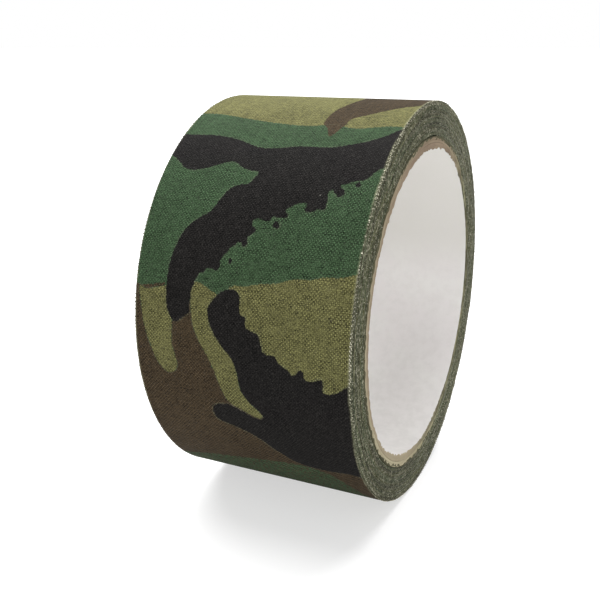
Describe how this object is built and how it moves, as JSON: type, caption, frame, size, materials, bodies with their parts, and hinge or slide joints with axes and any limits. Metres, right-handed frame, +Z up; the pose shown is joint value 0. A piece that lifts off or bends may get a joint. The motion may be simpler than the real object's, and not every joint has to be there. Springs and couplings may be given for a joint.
{
  "type": "duct tape roll",
  "caption": "Roll of printed cloth tape wound in a spiral on a round paperboard core, with a free end that peels off the outside.",
  "frame": {"origin": "the point on the supporting surface below the middle of the roll, which stands on its rim", "axes": "+X along the roll's axis, out of the end face that the front view shows; +Z up; +Y away from the front, the side that the free end lies on"},
  "size_m": [0.0508, 0.0971, 0.0969],
  "materials": {
    "tape_cloth": "matte",
    "core_board": "matte",
    "core_wrap": "matte",
    "core_liner": "matte"
  },
  "bodies": {
    "roll": {"core_liner": "core_liner", "core_board_1": "core_board", "core_board_2": "core_board", "core_board_3": "core_board", "core_wrap": "core_wrap", "tape_wound": "tape_cloth"},
    "tail_1": {"tape_tail_1": "tape_cloth"},
    "tail_2": {"tape_tail_2": "tape_cloth"},
    "tail_3": {"tape_tail_3": "tape_cloth"},
    "tail_4": {"tape_tail_4": "tape_cloth"},
    "tail_5": {"tape_tail_5": "tape_cloth"},
    "tail_6": {"tape_tail_6": "tape_cloth"},
    "tail_7": {"tape_tail_7": "tape_cloth"},
    "tail_8": {"tape_tail_8": "tape_cloth"}
  },
  "joints": [
    {"name": "tail_peel", "type": "hinge", "parent": "roll", "child": "tail_1", "pos_m": [0, 0.01416, 0.09507], "axis": [1, 0, 0], "range_deg": [0, 24]},
    {"name": "tail_bend_2", "type": "hinge", "parent": "tail_1", "child": "tail_2", "pos_m": [0, 0.02299, 0.09142], "axis": [1, 0, 0], "range_deg": [0, 24]},
    {"name": "tail_bend_3", "type": "hinge", "parent": "tail_2", "child": "tail_3", "pos_m": [0, 0.03095, 0.08611], "axis": [1, 0, 0], "range_deg": [0, 24]},
    {"name": "tail_bend_4", "type": "hinge", "parent": "tail_3", "child": "tail_4", "pos_m": [0, 0.03772, 0.07936], "axis": [1, 0, 0], "range_deg": [0, 24]},
    {"name": "tail_bend_5", "type": "hinge", "parent": "tail_4", "child": "tail_5", "pos_m": [0, 0.04304, 0.07141], "axis": [1, 0, 0], "range_deg": [0, 24]},
    {"name": "tail_bend_6", "type": "hinge", "parent": "tail_5", "child": "tail_6", "pos_m": [0, 0.04671, 0.06257], "axis": [1, 0, 0], "range_deg": [0, 24]},
    {"name": "tail_bend_7", "type": "hinge", "parent": "tail_6", "child": "tail_7", "pos_m": [0, 0.04858, 0.05319], "axis": [1, 0, 0], "range_deg": [0, 24]},
    {"name": "tail_bend_8", "type": "hinge", "parent": "tail_7", "child": "tail_8", "pos_m": [0, 0.04859, 0.04362], "axis": [1, 0, 0], "range_deg": [0, 24]}
  ],
  "couplings": [
    {"joint": "tail_bend_2", "follows": "tail_peel", "ratio": 1},
    {"joint": "tail_bend_3", "follows": "tail_peel", "ratio": 1},
    {"joint": "tail_bend_4", "follows": "tail_peel", "ratio": 1},
    {"joint": "tail_bend_5", "follows": "tail_peel", "ratio": 1},
    {"joint": "tail_bend_6", "follows": "tail_peel", "ratio": 1},
    {"joint": "tail_bend_7", "follows": "tail_peel", "ratio": 1},
    {"joint": "tail_bend_8", "follows": "tail_peel", "ratio": 1}
  ]
}
